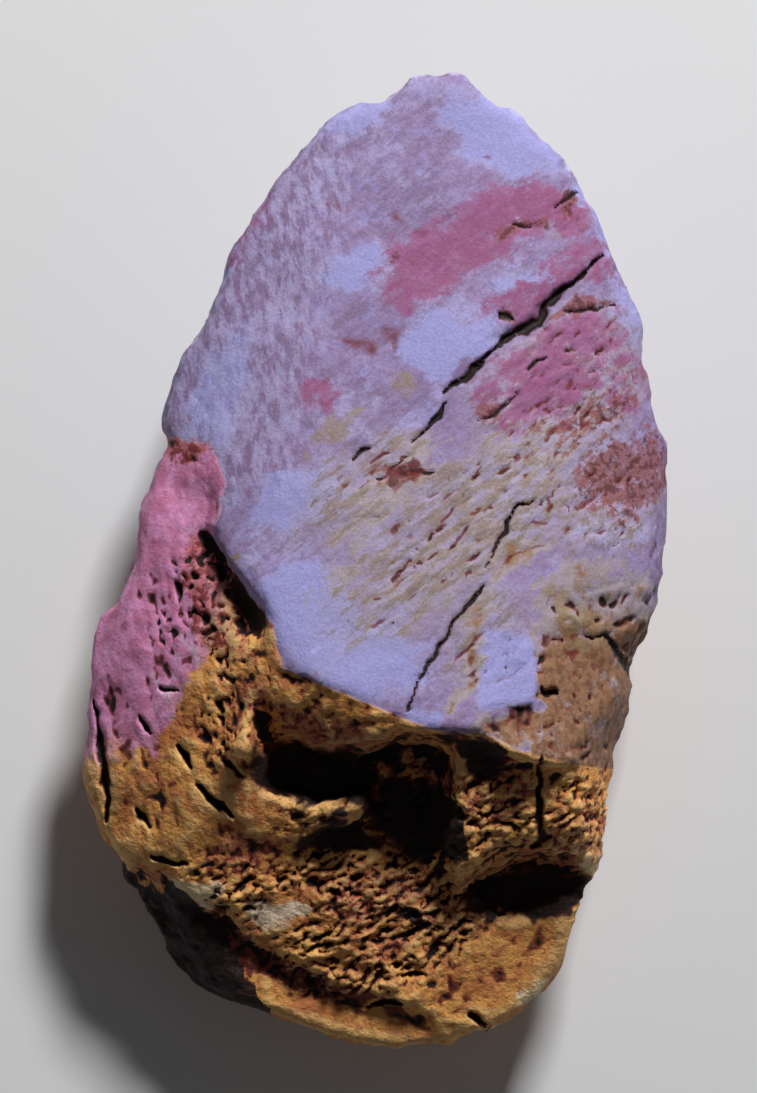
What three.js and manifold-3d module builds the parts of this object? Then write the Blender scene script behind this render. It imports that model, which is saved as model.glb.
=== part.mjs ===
// A knapped stone hand axe: one solid piece of banded quartzite, lying on its back.
// Millimetres, +Z up out of the worked face, +Y towards the tip, origin in the middle of the underside.
// It is made in the knapper's order: a cobble, then the flakes struck from it, then its two old cracks.

import * as THREE from "three";
import { mergeVertices } from "three/addons/utils/BufferGeometryUtils.js";
import Module from "manifold-3d";

// Driving dimensions
const LENGTH = 170;
const WIDTH = 101.6;
const BACK_DEPTH = 24; // from the underside up to the cutting edge
const LEDGE_HEIGHT = 53; // the thickest place, at the ledge that ends the smooth face
const COBBLE_HEIGHT = 62; // the uncut cobble
const SKY = 72; // flakes are cut away up to this height, clear of the cobble

// The cutting edge seen from above, anticlockwise from the tip, with its knapped notches.
const EDGE_POINTS = [
  [14.5, 85], [11, 84.2], [8, 84.3], [5, 83], [2, 80.5], [-3, 79.4], [-8, 76.5], [-12, 72.6],
  [-13, 70], [-16.3, 67.2], [-19, 62.2], [-21.6, 59.3], [-22, 57.2], [-24.8, 54], [-25.6, 50],
  [-29.8, 40.5], [-33.2, 36.5], [-35.4, 29.5], [-36.2, 25.5], [-37, 23], [-34.6, 20], [-37, 17.4],
  [-38.4, 13.6], [-40.2, 10], [-40.8, 5], [-42.2, -2], [-45, -7], [-48.8, -10.8], [-49.6, -15],
  [-49, -21], [-50, -26.5], [-49.9, -31], [-50.8, -37], [-49.4, -42], [-47.6, -47.5], [-44.8, -52],
  [-43.6, -57], [-40.6, -62], [-38, -66.8], [-34, -71.4], [-29, -75.4], [-20, -78.5], [-10, -82.2],
  [0, -84.6], [5, -85], [11, -84.5], [20, -81.6], [28.5, -76], [33, -70], [35.2, -63.5], [37, -58.4],
  [39.3, -53], [40.4, -48.8], [39.8, -45.6], [41.4, -39.5], [42, -32.4], [44.2, -27], [45.4, -23.4],
  [44.4, -18], [47.2, -13], [49.4, -6.5], [50.4, 2], [50.8, 12], [50.8, 20.6], [48.8, 26.2],
  [47.6, 31], [46.8, 36], [46.8, 41], [44.9, 44.8], [42.4, 50.4], [40.2, 55.4], [38.4, 60.6],
  [35, 66.5], [31, 72], [26.6, 75.8], [25.4, 78], [20, 80], [17.4, 83],
];

const library = await Module();
library.setup();

// Turns a three.js geometry into a solid that can be joined and cut.
function solidOf(geometry) {
  geometry.deleteAttribute("normal");
  geometry.deleteAttribute("uv");
  const merged = mergeVertices(geometry, 1e-4);
  return new library.Manifold(
    new library.Mesh({
      numProp: 3,
      vertProperties: merged.attributes.position.array,
      triVerts: new Uint32Array(merged.index.array),
    }),
  );
}

// A closed skin over rings of points, from a lower pole outwards and round to an upper pole.
// Every ring has the same count of points and runs anticlockwise seen from above.
function skin(lowerPole, rings, upperPole) {
  const count = rings[0].length;
  const points = [lowerPole, ...rings.flat(), upperPole];
  const upper = points.length - 1;
  const at = (ring, j) => 1 + ring * count + (j % count);
  const faces = [];
  for (let j = 0; j < count; j++) {
    faces.push(0, at(0, j + 1), at(0, j));
    for (let i = 0; i + 1 < rings.length; i++) {
      faces.push(at(i, j), at(i, j + 1), at(i + 1, j + 1));
      faces.push(at(i, j), at(i + 1, j + 1), at(i + 1, j));
    }
    faces.push(at(rings.length - 1, j), at(rings.length - 1, j + 1), upper);
  }
  const geometry = new THREE.BufferGeometry();
  geometry.setAttribute("position", new THREE.Float32BufferAttribute(points.flat(), 3));
  geometry.setIndex(faces);
  return solidOf(geometry);
}

// Points evenly spaced along a smooth closed line through the given corners.
function closedLine(corners, spacing) {
  const line = new THREE.CatmullRomCurve3(
    corners.map(([x, y]) => new THREE.Vector3(x, y, 0)),
    true,
    "centripetal",
  );
  const count = Math.round(line.getLength() / spacing);
  return line.getSpacedPoints(count).slice(0, count).map((p) => [p.x, p.y]);
}

// Everything above a surface, within a box on the plan.
function above(surface, [x0, x1], [y0, y1], grid) {
  const across = Math.ceil((x1 - x0) / grid);
  const along = Math.ceil((y1 - y0) / grid);
  const geometry = new THREE.BoxGeometry(x1 - x0, y1 - y0, 2, across, along, 1);
  geometry.translate((x0 + x1) / 2, (y0 + y1) / 2, 0);
  const points = geometry.attributes.position;
  for (let i = 0; i < points.count; i++) {
    points.setZ(i, points.getZ(i) > 0 ? SKY : surface(points.getX(i), points.getY(i)));
  }
  return solidOf(geometry);
}

// The uneven surface left where a blow has parted the stone, a millimetre or so high and low.
function unevenness(x, y) {
  const long = Math.sin(x * 0.21 + 1.3 * Math.sin(y * 0.13)) * Math.cos(y * 0.17 - x * 0.05);
  const short = Math.sin(x * 0.47 - y * 0.31 + 2) * Math.sin(y * 0.53 + x * 0.19);
  return 0.5 * long + 0.3 * short;
}

// ---- The cobble: flattish, with its widest line where the cutting edge will be ----

// The cutting edge is higher at the tip than at the butt, dips at the lower left and weaves.
function edgeHeight(x, y) {
  const climb = 3.5 * (y / (LENGTH / 2));
  const dip = -6.5 * Math.exp(-((x + 36) ** 2 + (y + 66) ** 2) / 500);
  return BACK_DEPTH + climb + dip + 0.9 * Math.sin(y * 0.16 + x * 0.05);
}

// Share of the way out from the middle, and share of the drop or rise from the edge.
const BACK_RINGS = [[0.28, 1], [0.45, 0.95], [0.6, 0.86], [0.75, 0.7], [0.88, 0.44], [0.96, 0.2]];
const FRONT_RINGS = [[0.99, 0.12], [0.965, 0.26], [0.92, 0.43], [0.84, 0.64], [0.7, 0.86], [0.4, 1]];

// Inside the edge the rings turn from the edge's own line into a plain oval, so that no notch runs on.
const OVAL = [44, 78];

function cobble() {
  const edge = closedLine(EDGE_POINTS, 2.9);
  const ring = (out, heightAt) => edge.map(([x, y]) => {
    const turn = Math.atan2(y / OVAL[1], x / OVAL[0]);
    const own = out ** 3;
    const px = out * (own * x + (1 - own) * OVAL[0] * Math.cos(turn));
    const py = out * (own * y + (1 - own) * OVAL[1] * Math.sin(turn));
    return [px, py, heightAt(edgeHeight(x, y))];
  });
  const back = BACK_RINGS.map(([out, drop]) => ring(out, (h) => h * (1 - drop)));
  const front = FRONT_RINGS.map(([out, rise]) => ring(out, (h) => h + (COBBLE_HEIGHT - h) * rise));
  return skin([0, 0, 0], [...back, ring(1, (h) => h), ...front], [0, 0, COBBLE_HEIGHT]);
}

// ---- Flakes struck from the front face ----

// What a blow takes away: all above a floor, inside an outline on the face. Where the floor lies
// deeper than the face, a wall leans out from the floor to the outline.
function flake({ outline, middle, floor, face, lean = 66, spacing = 3, grid = 5 }) {
  const run = 1 / Math.tan(THREE.MathUtils.degToRad(lean));
  const foot = [];
  const sky = [];
  for (const [x, y] of closedLine(outline, spacing)) {
    const reach = Math.hypot(x - middle[0], y - middle[1]);
    const lip = Math.max(face(x, y), floor(x, y));
    const at = (z) => {
      const far = Math.max((reach + (z - lip) * run) / reach, 0.4);
      return [middle[0] + (x - middle[0]) * far, middle[1] + (y - middle[1]) * far, z];
    };
    foot.push(at(floor(x, y) - 2));
    sky.push(at(SKY - 1));
  }
  const lowest = Math.min(...foot.map(([, , z]) => z)) - 4;
  const inside = skin([...middle, lowest], [foot, sky], [...middle, SKY - 1]);
  const extent = (axis) => {
    const values = sky.map((p) => p[axis]);
    return [Math.min(...values) - 1, Math.max(...values) + 1];
  };
  return inside.intersect(above(floor, extent(0), extent(1), grid));
}

// The smooth natural face, falling gently from the ledge to the tip and rounding over to both sides.
const FACE_FALL = 0.205;
const SIDE_FALL = 17;
const LEDGE_Y = -27;
function smoothFace(x, y) {
  const side = Math.abs(x - 5) / (WIDTH / 2 - 4);
  return LEDGE_HEIGHT - FACE_FALL * (y - LEDGE_Y) - SIDE_FALL * side ** 3 + 0.5 * unevenness(x, y);
}

// The left flank, a step below the smooth face and falling away to the edge and the butt. Beside the
// ledge it swells almost up to the face.
function leftFlankFloor(x, y) {
  const fall = y > -12 ? 0.0023 : 0.0034;
  const swelling = 4.4 * Math.exp(-((x + 16) ** 2 + (y + 19) ** 2) / 90);
  const slope = 0.45 * (x + 26) - 0.004 * (x + 26) ** 2 - fall * (y + 12) ** 2;
  return 39.5 + slope + swelling + 0.8 * unevenness(x, y);
}
const leftFlank = {
  outline: [
    [-46, 32], [-60, 20], [-75, -10], [-70, -60], [-40, -78], [-27, -60], [-20, -55], [-18, -46],
    [-22, -41], [-20.5, -36], [-18.5, -30], [-17.6, -24], [-16, -19], [-15.8, -16], [-17.5, -12.5],
    [-19.5, -8.5], [-22, -4.5], [-24.5, -1], [-26, 3], [-27.5, 6], [-26.8, 9], [-26.6, 13],
    [-29, 16.5], [-31.5, 19.5], [-34, 22.5], [-37, 27],
  ],
  middle: [-45, -15],
  floor: leftFlankFloor,
  face: smoothFace,
  lean: 60,
};

// The gouge along the foot of the step between the smooth face and the left flank, deepest against
// the step, which runs in a line from upper left to lower right.
const stepGouge = {
  outline: [
    [-29.6, 6], [-31.6, 0], [-29, -6], [-26, -10.4], [-22.8, -13], [-19.6, -13.4], [-18, -11.4],
    [-19.2, -8.6], [-21.6, -4.8], [-24.2, -1.2], [-26, 3],
  ],
  middle: [-25, -4.6],
  floor: (x, y) => leftFlankFloor(x, y) - 3.8 + 0.5 * (-24.5 - 0.5 * y - x),
  face: leftFlankFloor,
  lean: 70,
  grid: 4,
};

// The brow below the smooth face, left of the middle, rounding over from a slanting line.
function browFloor(x, y) {
  const below = Math.max(0, -0.376 * (x + 5.5) - 0.927 * (y + 21.3));
  return smoothFace(x, y) - 0.4 - 0.5 * below - 0.035 * below ** 2 + 0.4 * unevenness(y, x);
}
const brow = {
  outline: [
    [-16.6, -17.2], [-20.6, -20], [-23.4, -27], [-22.4, -36], [-10, -40], [4, -38], [7, -31],
    [5.6, -26.8], [0, -24.4], [-5, -22.4], [-10, -20.4],
  ],
  middle: [-6, -30],
  floor: browFloor,
  face: smoothFace,
};

// The right-hand shoulder, a terrace that deepens from the right edge towards the butt.
function shoulderFloor(x, y) {
  const deepening = Math.min((-3 - y) / 15, 1);
  return smoothFace(x, y) - deepening * (1.4 + 0.3 * Math.max(0, x - 27.5)) + 0.3 * unevenness(y, x);
}
const shoulder = {
  outline: [
    [27.2, -9], [27.3, -24.5], [19.6, -25.2], [18.5, -40], [40, -50], [68, -40], [68, 2], [50, 1],
    [36, -2], [30, -4],
  ],
  middle: [42, -22],
  floor: shoulderFloor,
  face: smoothFace,
};

// The block below the ledge, right of the middle, tilted towards the butt.
const blockFloor = (x, y) =>
  LEDGE_HEIGHT - 5.4 + 0.42 * (y + 33) - 0.06 * Math.abs(x - 16) - 0.17 * Math.max(0, 4 - x) +
  0.9 * unevenness(x, y);
const block = {
  outline: [
    [5.4, -28.8], [-40, -36], [-75, -60], [-60, -100], [0, -110], [60, -100], [75, -60], [62, -39.5],
    [44, -36.6], [36, -35], [30, -33.6], [24, -32], [19, -29.6], [14.6, -28.2], [12.4, -29.2],
  ],
  middle: [12, -60],
  floor: blockFloor,
  face: smoothFace,
  lean: 72,
};

// Two hollows under the brow, with a tongue of stone left between them.
const upperHollow = {
  outline: [
    [-18.6, -29.6], [-20.6, -36], [-21.4, -39.8], [-17, -41], [-13.5, -42.2], [-8, -41.4],
    [-4, -39.8], [2, -42], [8, -40], [9, -33], [5, -29.6], [1, -31.4], [-3, -33], [-8, -33.4],
    [-11, -31.4], [-15, -29],
  ],
  middle: [-6, -37],
  floor: (x, y) => 33.5 + 0.9 * unevenness(x, y),
  face: () => 44,
  lean: 68,
  grid: 4,
};
const lowerHollow = {
  outline: [
    [5, -29.4], [0, -33], [-1, -38], [-3, -43], [-6, -45.4], [-10.5, -46.8], [-13.5, -50], [-8, -54],
    [0, -58], [9, -57], [12, -51], [13.2, -46], [14, -42], [14.4, -36], [14, -31], [12.4, -29.6],
  ],
  middle: [5, -43],
  floor: (x, y) => 35 + 0.16 * (y + 35) + 1.2 * unevenness(x, y),
  face: blockFloor,
  lean: 76,
  grid: 4,
};

// The rough butt below the block and the tongue.
const roughButtFloor = (x, y) =>
  29.8 + 0.3 * (y + 65) - 0.0022 * (x - 2) ** 2 + 1.1 * unevenness(x, y);
const roughButt = {
  outline: [
    [-26, -49.6], [-40, -50], [-75, -60], [-60, -100], [0, -112], [60, -100], [70, -64], [54, -57.6],
    [39, -54.4], [35, -52.2], [30, -51.6], [26, -50], [20, -52.6], [15.2, -55.2], [12, -50.4],
    [4, -51], [-4, -50], [-12, -48.6], [-20, -47.4],
  ],
  middle: [5, -70],
  floor: roughButtFloor,
  face: blockFloor,
  lean: 68,
};

// The deep hollow under the block's lower right corner.
const cornerHollow = {
  outline: [
    [15.6, -56.2], [19, -60.4], [23, -61.8], [27, -61], [29, -59.4], [31.6, -57.8], [34, -57.6],
    [37, -59.6], [50, -62], [52, -56], [39, -54.4], [35, -52.2], [30, -51.6], [26, -50], [20, -52.6],
  ],
  middle: [27, -56],
  floor: (x, y) => 26.5 + 0.6 * unevenness(x, y),
  face: roughButtFloor,
  lean: 64,
  grid: 4,
};

// The low band round the bottom, a step below the rough butt.
const lowBandFloor = (x, y) => 24.2 + 0.12 * (y + 69) + 0.03 * (x + 10) + 0.5 * unevenness(x, y);
const lowBand = {
  outline: [
    [-26.4, -58.6], [-33, -56.5], [-45, -52], [-70, -60], [-50, -100], [0, -112], [17, -98],
    [13, -85], [9, -78.6], [5, -76.6], [0, -75.4], [-5, -73.6], [-10, -70.6], [-15, -68],
    [-19.6, -65], [-23, -61.6],
  ],
  middle: [-20, -84],
  floor: lowBandFloor,
  face: roughButtFloor,
  lean: 56,
};

// The steep scar at the lower left, falling away from a ridge that runs down to the right.
const steepScarFloor = (x, y) =>
  27 + 0.9 * (x + 30) + 0.72 * (y + 61) + 0.5 * unevenness(x, y);
const steepScar = {
  outline: [
    [-48, -49.5], [-70, -50], [-80, -90], [-40, -105], [-17, -92], [-19.6, -77.6], [-21.6, -74],
    [-24, -70], [-26.6, -66], [-30, -61.6], [-34, -57], [-38.4, -53.6],
  ],
  middle: [-42, -76],
  floor: steepScarFloor,
  face: lowBandFloor,
  lean: 56,
};

const FRONT_FLAKES = [
  leftFlank, stepGouge, brow, shoulder, block, upperHollow, lowerHollow, roughButt, cornerHollow,
  lowBand, steepScar,
];

// ---- Flakes struck from the back, from the cutting edge inwards ----

// Direction of the blow round the edge in degrees, how far in it ran as a share of the way to the
// middle, how wide it spread, how deeply it bit, how high above the underside it ended and how far
// below the edge it was struck.
const BACK_FLAKES = [
  { from: 78, run: 0.72, spread: 56, bite: 2, rise: 2.2 },
  { from: 122, run: 0.6, spread: 46, bite: 2.2, rise: 1.2 },
  { from: 40, run: 0.58, spread: 44, bite: 2, rise: 1.6 },
  { from: 4, run: 0.56, spread: 52, bite: 2.2, rise: 1.2 },
  { from: 168, run: 0.54, spread: 50, bite: 1.8, rise: 1 },
  { from: 214, run: 0.58, spread: 50, bite: 2.2, rise: 1.4, below: 3 },
  { from: -40, run: 0.52, spread: 48, bite: 2, rise: 1 },
  { from: 248, run: 0.62, spread: 46, bite: 2.2, rise: 1.2, below: 2.4 },
  { from: -72, run: 0.6, spread: 48, bite: 1.8, rise: 1.6 },
  { from: 98, run: 0.24, spread: 24, bite: 1.4, rise: 11 },
  { from: 60, run: 0.3, spread: 26, bite: 1.4, rise: 9.4 },
  { from: 20, run: 0.28, spread: 24, bite: 1.4, rise: 8.4 },
  { from: -18, run: 0.26, spread: 26, bite: 1.4, rise: 8 },
  { from: -56, run: 0.28, spread: 24, bite: 1.3, rise: 6.2 },
  { from: 144, run: 0.3, spread: 24, bite: 1.4, rise: 8 },
  { from: 188, run: 0.26, spread: 24, bite: 1.4, rise: 7.8 },
  { from: 228, run: 0.24, spread: 22, bite: 1.2, rise: 5 },
];
const CUTTER_HEIGHT = 40;

function backFlake({ from, run, spread, bite, rise, below = 1.4 }) {
  const angle = THREE.MathUtils.degToRad(from);
  const facing = ([x, y]) => Math.cos(Math.atan2(y, x) - angle);
  const [ex, ey] = closedLine(EDGE_POINTS, 3).reduce((a, b) => (facing(b) > facing(a) ? b : a));
  const struck = new THREE.Vector3(ex, ey, edgeHeight(ex, ey) - below);
  const ended = new THREE.Vector3(ex * (1 - run), ey * (1 - run), rise);
  const along = ended.clone().sub(struck);
  const chord = along.length();
  along.normalize();
  const across = new THREE.Vector3(along.y, -along.x, 0).normalize();
  const outward = new THREE.Vector3().crossVectors(along, across);
  const geometry = new THREE.BoxGeometry(chord * 1.7, spread * 1.5, CUTTER_HEIGHT, 10, 9, 1);
  const points = geometry.attributes.position;
  for (let i = 0; i < points.count; i++) {
    if (points.getZ(i) > 0) continue;
    const [u, v] = [(2 * points.getX(i)) / chord, (2 * points.getY(i)) / spread];
    const ripple = 0.25 * Math.cos(9 * Math.hypot(u + 1, v));
    points.setZ(i, -CUTTER_HEIGHT / 2 + bite * (u * u + v * v - 1) + ripple);
  }
  const middle = struck.clone().add(ended).multiplyScalar(0.5);
  const place = new THREE.Matrix4().makeBasis(along, across, outward);
  place.setPosition(middle.addScaledVector(outward, CUTTER_HEIGHT / 2));
  return solidOf(geometry.applyMatrix4(place));
}

// ---- The two old cracks that run down across the smooth face ----

// Stations down each crack's line; it is open widest half way and closes to nothing at both ends.
const WIDE_CRACK = [
  [39.4, 53], [37, 50.6], [34, 48], [31.4, 45.2], [29, 42.4], [26.4, 39.8], [23, 38], [20, 36],
  [17.6, 33.4], [14.6, 31.4], [12, 29.6], [10.6, 28.4],
];
const THIN_CRACK = [
  [26.4, 11], [23.6, 8.6], [21.8, 4.6], [20, 0.4], [18.2, -4.2], [15.2, -8.4], [12.6, -11.6],
  [10.4, -15.4], [8.2, -19], [6.6, -22.4], [5.6, -25.6],
];

// A wedge along a line on the smooth face: wide above it, closing to a sharp bottom below it.
function crack(line, halfWidth, depth) {
  const stations = line.map(([x, y], i) => {
    const [ax, ay] = line[Math.max(i - 1, 0)];
    const [bx, by] = line[Math.min(i + 1, line.length - 1)];
    const length = Math.hypot(bx - ax, by - ay);
    const open = Math.sin((Math.PI * (i + 0.3)) / (line.length - 0.4)) ** 0.7;
    const side = [((by - ay) / length) * halfWidth * open, (-(bx - ax) / length) * halfWidth * open];
    const z = smoothFace(x, y);
    return [
      [x, y, z - depth * open],
      [x + 2 * side[0], y + 2 * side[1], z + depth * open],
      [x - 2 * side[0], y - 2 * side[1], z + depth * open],
    ];
  });
  const faces = [0, 1, 2];
  for (let i = 0; i + 1 < stations.length; i++) {
    for (let k = 0; k < 3; k++) {
      const [a, b] = [i * 3 + k, i * 3 + ((k + 1) % 3)];
      faces.push(a, a + 3, b + 3, a, b + 3, b);
    }
  }
  const last = stations.length * 3 - 3;
  faces.push(last, last + 2, last + 1);
  const geometry = new THREE.BufferGeometry();
  geometry.setAttribute("position", new THREE.Float32BufferAttribute(stations.flat(2), 3));
  geometry.setIndex(faces);
  return solidOf(geometry);
}

// ---- The finished stone ----

function knap() {
  const margin = 10;
  const plan = [WIDTH, LENGTH].map((side) => [-side / 2 - margin, side / 2 + margin]);
  let stone = cobble().subtract(above(smoothFace, ...plan, 6));
  for (const blow of FRONT_FLAKES) stone = stone.subtract(flake(blow));
  for (const blow of BACK_FLAKES) stone = stone.subtract(backFlake(blow));
  return stone.subtract(crack(WIDE_CRACK, 1.1, 2.4)).subtract(crack(THIN_CRACK, 0.4, 1.2));
}

function geometryOf(solid) {
  const mesh = solid.getMesh();
  const geometry = new THREE.BufferGeometry();
  geometry.setAttribute("position", new THREE.BufferAttribute(mesh.vertProperties, 3));
  geometry.setIndex(new THREE.BufferAttribute(mesh.triVerts, 1));
  return geometry;
}

const stoneMaterial = new THREE.MeshStandardMaterial({ color: 0x968090, roughness: 0.85, metalness: 0 });
const handAxe = new THREE.Mesh(geometryOf(knap()), stoneMaterial);
handAxe.name = "hand_axe";

const group = new THREE.Group();
group.add(handAxe);
export default group;
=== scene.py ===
# A knapped stone hand axe, lying on its back with its worked face up and its tip away from the light stand.
import math

import bpy
import numpy as np
from mathutils import Matrix, Vector


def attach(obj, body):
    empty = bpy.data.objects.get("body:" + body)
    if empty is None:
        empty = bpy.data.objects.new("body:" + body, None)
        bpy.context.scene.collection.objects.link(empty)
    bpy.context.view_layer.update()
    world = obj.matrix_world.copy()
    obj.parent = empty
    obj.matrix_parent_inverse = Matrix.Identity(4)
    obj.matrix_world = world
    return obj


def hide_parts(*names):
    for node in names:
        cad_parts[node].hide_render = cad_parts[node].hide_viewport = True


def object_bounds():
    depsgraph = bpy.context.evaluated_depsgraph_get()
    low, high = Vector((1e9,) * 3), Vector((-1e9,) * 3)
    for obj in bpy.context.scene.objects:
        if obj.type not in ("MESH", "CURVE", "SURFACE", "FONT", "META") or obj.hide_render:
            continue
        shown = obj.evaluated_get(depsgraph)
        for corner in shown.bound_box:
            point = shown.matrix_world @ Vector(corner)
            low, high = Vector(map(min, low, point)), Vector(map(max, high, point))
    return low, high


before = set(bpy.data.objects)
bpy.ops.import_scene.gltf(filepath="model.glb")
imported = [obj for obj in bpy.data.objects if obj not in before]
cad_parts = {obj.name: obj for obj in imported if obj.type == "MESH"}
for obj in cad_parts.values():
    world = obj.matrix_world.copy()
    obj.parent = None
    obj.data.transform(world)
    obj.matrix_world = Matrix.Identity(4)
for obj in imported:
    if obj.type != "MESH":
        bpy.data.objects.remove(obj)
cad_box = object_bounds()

MM = 0.001
link = bpy.context.scene.collection.objects.link
middle = (cad_box[0] + cad_box[1]) / 2


# ---- Camera: straight above the stone, with its tip at the top of the picture ----
CAMERA_HEIGHT = 1080 * MM
LENS = 200
FRAME_SHIFT = Vector((0.7, 2.6, 0)) * MM  # the stone sits a little low and left of the frame's middle

camera = bpy.data.objects.new("camera", bpy.data.cameras.new("camera"))
camera.data.lens = LENS
camera.data.sensor_width = 36
camera.location = Vector((middle.x, middle.y, CAMERA_HEIGHT)) + FRAME_SHIFT
link(camera)
bpy.context.scene.camera = camera


# ---- Floor: a plain pale sheet of card, much wider than the picture ----
FLOOR_SIZE = 3.0

bpy.ops.mesh.primitive_plane_add(size=FLOOR_SIZE, location=(0, 0, 0))
floor = bpy.context.object
floor.name = "floor"
card = bpy.data.materials.new("pale_card")
card.use_nodes = True
card.node_tree.nodes["Principled BSDF"].inputs["Base Color"].default_value = (0.74, 0.74, 0.75, 1)
card.node_tree.nodes["Principled BSDF"].inputs["Roughness"].default_value = 0.9
floor.data.materials.append(card)


# ---- Light: one soft lamp low beyond the tip, a little to the right, and a dim even room ----
LAMP_DIRECTION = Vector((0.24, 0.76, 0.60)).normalized()
LAMP_DISTANCE = 1.3
LAMP_SIZE = 0.22
LAMP_WATTS = 21
ROOM_LIGHT = 0.07

lamp = bpy.data.objects.new("lamp", bpy.data.lights.new("lamp", "AREA"))
lamp.data.size = LAMP_SIZE
lamp.data.energy = LAMP_WATTS
lamp.location = middle + LAMP_DIRECTION * LAMP_DISTANCE
lamp.rotation_euler = LAMP_DIRECTION.to_track_quat("Z", "Y").to_euler()
link(lamp)
room = bpy.data.worlds.new("room")
room.use_nodes = True
room.node_tree.nodes["Background"].inputs["Color"].default_value = (1, 1, 1, 1)
room.node_tree.nodes["Background"].inputs["Strength"].default_value = ROOM_LIGHT
bpy.context.scene.world = room
bpy.context.scene.view_settings.view_transform = "Standard"


# ---- The stone: one cobble of banded quartzite, struck to shape with a hammer stone ----
# Its form is the frame's own solid. Here it gets its weathered face, its coarse flaked surfaces, the old
# cracks, the chips along the cutting edge, the stains, and painted shade, shadow and highlights. Sizes are
# millimetres until the mesh is done.
GRAIN = 0.42  # the finest relief that the mesh carries
MOST_TRIANGLES = 194000
HALF_LENGTH, HALF_WIDTH = 85, 50


def dense_copy(node):
    """The node's solid as an even, dense mesh in millimetres."""
    mesh = node.data.copy()
    copy = bpy.data.objects.new("stone_blank", mesh)
    link(copy)
    mesh.transform(Matrix.Scale(1 / MM, 4))
    weld = copy.modifiers.new("weld", "WELD")
    weld.merge_threshold = 0.001
    remesh = copy.modifiers.new("remesh", "REMESH")
    remesh.mode = "VOXEL"
    remesh.voxel_size = GRAIN
    dense = bpy.data.meshes.new_from_object(copy.evaluated_get(bpy.context.evaluated_depsgraph_get()))
    bpy.data.objects.remove(copy)
    bpy.data.meshes.remove(mesh)
    return dense


def points_of(mesh):
    flat = np.empty(len(mesh.vertices) * 3, dtype=np.float32)
    mesh.vertices.foreach_get("co", flat)
    return flat.reshape(-1, 3).astype(np.float64)


def normals_of(mesh):
    flat = np.empty(len(mesh.vertices) * 3, dtype=np.float32)
    mesh.vertex_normals.foreach_get("vector", flat)
    return flat.reshape(-1, 3).astype(np.float64)


def pairs_of(mesh):
    """The two ends of every edge."""
    ends = np.empty(len(mesh.edges) * 2, dtype=np.int32)
    mesh.edges.foreach_get("vertices", ends)
    return ends[0::2].astype(np.int64), ends[1::2].astype(np.int64)


def put_points(mesh, points):
    mesh.vertices.foreach_set("co", points.astype(np.float32).ravel())
    mesh.update()


def blur(values, pairs, weights=None):
    """Each point's value turned into the mean of its neighbours', along the pairs of joined points."""
    a, b = pairs
    w = np.ones(len(a)) if weights is None else weights
    count = len(values)
    total = np.bincount(a, w, count) + np.bincount(b, w, count) + 1e-9
    columns = values.reshape(count, -1)
    mixed = np.empty_like(columns)
    for k in range(columns.shape[1]):
        column = columns[:, k]
        mixed[:, k] = (np.bincount(a, w * column[b], count) + np.bincount(b, w * column[a], count)) / total
    return mixed.reshape(values.shape)


WORD = 2**32
SEED_PRIME = 2654435761
AXIS_PRIMES = (73856093, 19349663, 83492791)
MIXERS = (2246822519, 3266489917)
CELL_SHIFT = 4096  # keeps every cell's number above 0


def lattice(cells, seed):
    """An even random number from 0 to 1 for each cell of whole coordinates, one row per cell."""
    key = np.zeros(len(cells), dtype=np.uint64) + np.uint64(seed * SEED_PRIME % WORD)
    for k, prime in enumerate(AXIS_PRIMES[: cells.shape[1]]):
        key ^= (cells[:, k] + CELL_SHIFT).astype(np.uint64) * np.uint64(prime)
        key = (key ^ (key >> np.uint64(15))) * np.uint64(MIXERS[0]) % np.uint64(WORD)
    key ^= key >> np.uint64(13)
    key = key * np.uint64(MIXERS[1]) % np.uint64(WORD)
    return (key ^ (key >> np.uint64(16))) / float(WORD)


NOISE_START = 17.3  # moves the grid off the origin
NOISE_GAIN = 1.6


def noise(where, size, seed):
    """Smooth random relief from about -1 to 1 with lumps of the given size."""
    place = where / size + NOISE_START
    cell = np.floor(place).astype(np.int64)
    part = place - cell
    ease = part * part * part * (part * (part * 6 - 15) + 10)
    total = np.zeros(len(where))
    for corner in np.ndindex(*(2,) * where.shape[1]):
        offset = np.array(corner)
        weight = np.prod(np.where(offset, ease, 1 - ease), axis=1)
        slope = sum(
            (lattice(cell + offset, seed + 7 * k) * 2 - 1) * (part[:, k] - offset[k])
            for k in range(where.shape[1])
        )
        total += weight * slope
    return total * NOISE_GAIN


def warped(where, amount, size, seed):
    """The points pushed about by up to the given amount, in swirls of the given size."""
    return where + amount * np.stack([noise(where, size, seed + k) for k in (0, 1, 2)], axis=1)


def turned(where, degrees):
    """The points turned so that the given direction on the plan lies along their first coordinate."""
    c, s = math.cos(math.radians(degrees)), math.sin(math.radians(degrees))
    x, y = where[:, 0], where[:, 1]
    return np.stack([x * c + y * s, y * c - x * s, where[:, 2]], axis=1)


def ramp(values, start, end):
    """0 before start and 1 after end, turning smoothly between them."""
    t = np.clip((values - start) / (end - start), 0, 1)
    return t * t * (3 - 2 * t)


def scales(where, along, across, direction, seed):
    """Lumps packed like roof tiles, longer along one direction: 0 in the creases between them."""
    grid = turned(warped(where, 0.6 * across, 2.5 * across, seed + 1), direction)[:, :2] / [along, across]
    home = np.floor(grid).astype(np.int64)
    nearest, second, height = (np.full(len(where), start) for start in (9.0, 9.0, 0.0))
    for step in np.ndindex(3, 3):
        cell = home + np.array(step) - 1
        offset = grid - cell - np.stack([lattice(cell, seed + 2), lattice(cell, seed + 3)], axis=1)
        far = np.hypot(*offset.T)
        height = np.where(far < nearest, lattice(cell, seed + 4) + 0.7 * offset[:, 1], height)
        second = np.minimum(second, np.maximum(far, nearest))
        nearest = np.minimum(nearest, far)
    return ramp(second - nearest, 0, 0.4) * (0.5 + 0.5 * height)


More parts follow.
